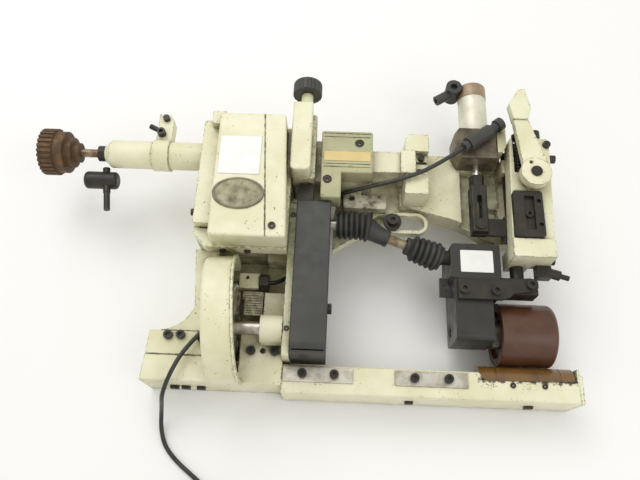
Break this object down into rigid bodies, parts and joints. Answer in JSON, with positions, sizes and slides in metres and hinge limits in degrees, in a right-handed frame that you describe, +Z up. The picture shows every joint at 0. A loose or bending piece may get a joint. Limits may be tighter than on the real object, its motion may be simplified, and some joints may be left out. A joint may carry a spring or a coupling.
{
  "type": "roller puller",
  "caption": "Industrial sewing-machine roller puller: powered rubber roller on an air-lifted head over an arm roller, driven from a toothed input pulley",
  "frame": {"origin": "centre of the outline on the bench that the machine lies on", "axes": "+X along the arm towards the rollers, +Y towards the air cylinder and hand lever, +Z up from the bench"},
  "size_m": [0.5066, 0.4636, 0.1136],
  "materials": {
    "cream_paint": "chipped and oil-stained satin paint",
    "olive_paint": "satin paint, worn",
    "black_paint": "satin black paint",
    "black_plastic": "fine matt",
    "black_steel": "oxide black, oily",
    "bright_steel": "ground, slightly stained",
    "stained_steel": "rust-stained, oily",
    "grey_steel": "turned, oily",
    "oily_aluminium": "dull, oil-stained",
    "chrome_rod": "polished",
    "cast_grey": "as cast",
    "rusty_iron": "rusty, oily",
    "badge_metal": "dull, aged",
    "bare_aluminium": "satin",
    "copper_metal": "satin copper tone",
    "brass": "machined",
    "red_rubber": "worn semi-gloss",
    "amber_rubber": "semi-gloss polyurethane",
    "black_rubber": "matt",
    "black_hose": "smooth tube"
  },
  "bodies": {
    "frame": {"arm_casting": "cream_paint", "arm_pads": "bright_steel", "frame_screws": "black_steel", "frame_bearings": "bright_steel", "base_block": "cream_paint", "frame_column": "cream_paint", "side_plate": "cream_paint", "bearing_blocks": "cream_paint", "drive_guard": "cream_paint", "belt_cover": "black_plastic", "timing_belt": "black_rubber", "gearbox_case": "cream_paint", "gearbox_cover": "cream_paint", "gearbox_badge": "badge_metal", "feed_link": "cast_grey", "drive_tube": "cream_paint", "clamp_collar": "cream_paint", "support_bracket": "black_steel", "dark_fittings": "black_steel", "regulator_column": "cream_paint", "connecting_block": "cream_paint", "olive_cover": "olive_paint", "beam_and_clamps": "cream_paint", "flange_block": "cast_grey", "slotted_link": "cream_paint", "arch_frame": "cream_paint", "cylinder_bracket": "cream_paint", "presser_housing": "cream_paint", "guide_plate": "black_steel", "presser_spring": "black_steel", "cylinder_block": "oily_aluminium", "cylinder_barrel": "bare_aluminium", "cylinder_cap": "copper_metal", "air_fittings": "black_plastic", "air_hose_held": "black_hose", "air_hose_free": "black_hose", "air_hose_coil": "black_hose", "hose_end_fitting": "brass"},
    "input_line": {"input_shaft": "stained_steel", "input_pulley": "rusty_iron"},
    "output_line": {"output_shaft": "bright_steel"},
    "cross_line": {"cross_shaft": "bright_steel", "drive_gear": "bright_steel"},
    "lower_roller_line": {"lower_roller_shaft": "bright_steel", "lower_roller": "amber_rubber"},
    "slant_cover": {"bellows": "black_rubber"},
    "slant_line": {"slanted_shaft": "stained_steel"},
    "head": {"piston_rod": "chrome_rod", "clevis": "black_steel", "lift_arm": "black_steel", "presser_bar": "black_steel", "head_housing": "black_paint", "head_clamp": "black_steel", "head_belt": "black_rubber"},
    "head_input": {"head_input_shaft": "black_steel"},
    "upper_roller_line": {"upper_roller_core": "grey_steel", "upper_roller": "red_rubber"},
    "lever": {"hand_lever": "cream_paint"},
    "knob": {"regulator_knob": "black_plastic"},
    "slider": {"regulator_slider": "brass"}
  },
  "joints": [
    {"name": "input_spin", "type": "hinge", "parent": "frame", "child": "input_line", "pos_m": [-0.14675, 0.06, 0.07], "axis": [1, 0, 0], "continuous": true},
    {"name": "output_spin", "type": "hinge", "parent": "frame", "child": "output_line", "pos_m": [-0.04675, -0.0037, 0.063], "axis": [1, 0, 0], "continuous": true},
    {"name": "cross_spin", "type": "hinge", "parent": "frame", "child": "cross_line", "pos_m": [-0.04675, -0.1061, 0.06273], "axis": [1, 0, 0], "continuous": true},
    {"name": "lower_roller_spin", "type": "hinge", "parent": "frame", "child": "lower_roller_line", "pos_m": [0.10325, -0.1394, 0.031], "axis": [1, 0, 0], "continuous": true},
    {"name": "head_lift", "type": "slide", "parent": "frame", "child": "head", "axis": [0, 1, 0], "range_m": [0, 0.008]},
    {"name": "slant_tilt", "type": "hinge", "parent": "frame", "child": "slant_cover", "pos_m": [0.04725, -0.0037, 0.063], "axis": [0, 0, 1], "range_deg": [0, 5.7]},
    {"name": "slant_spin", "type": "hinge", "parent": "slant_cover", "child": "slant_line", "pos_m": [0.04725, -0.0037, 0.063], "axis": [0.947, -0.2829, -0.152], "continuous": true},
    {"name": "head_input_spin", "type": "hinge", "parent": "head", "child": "head_input", "pos_m": [0.12825, -0.0279, 0.05], "axis": [1, 0, 0], "continuous": true},
    {"name": "upper_roller_spin", "type": "hinge", "parent": "head", "child": "upper_roller_line", "pos_m": [0.20325, -0.0955, 0.031], "axis": [1, 0, 0], "continuous": true},
    {"name": "lever_turn", "type": "hinge", "parent": "frame", "child": "lever", "pos_m": [0.21425, 0.0435, 0.09], "axis": [0, 0, 1], "range_deg": [-60.5, 0]},
    {"name": "knob_turn", "type": "hinge", "parent": "frame", "child": "knob", "pos_m": [-0.00025, 0.1205, 0.094], "axis": [0, 1, 0], "range_deg": [0, 1442]},
    {"name": "slider_travel", "type": "slide", "parent": "frame", "child": "slider", "axis": [0, 1, 0], "range_m": [0, 0.024]}
  ],
  "couplings": [
    {"joint": "output_spin", "follows": "input_spin", "ratio": 0.05},
    {"joint": "cross_spin", "follows": "input_spin", "ratio": 0.025},
    {"joint": "lower_roller_spin", "follows": "input_spin", "ratio": -0.10278},
    {"joint": "slant_spin", "follows": "input_spin", "ratio": 0.05},
    {"joint": "head_input_spin", "follows": "input_spin", "ratio": 0.05},
    {"joint": "upper_roller_spin", "follows": "input_spin", "ratio": 0.05},
    {"joint": "slant_tilt", "follows": "head_lift", "rad_per_m": 12.18},
    {"joint": "lever_turn", "follows": "head_lift", "rad_per_m": -130.9},
    {"joint": "knob_turn", "follows": "slider_travel", "rad_per_m": 1047.2}
  ]
}
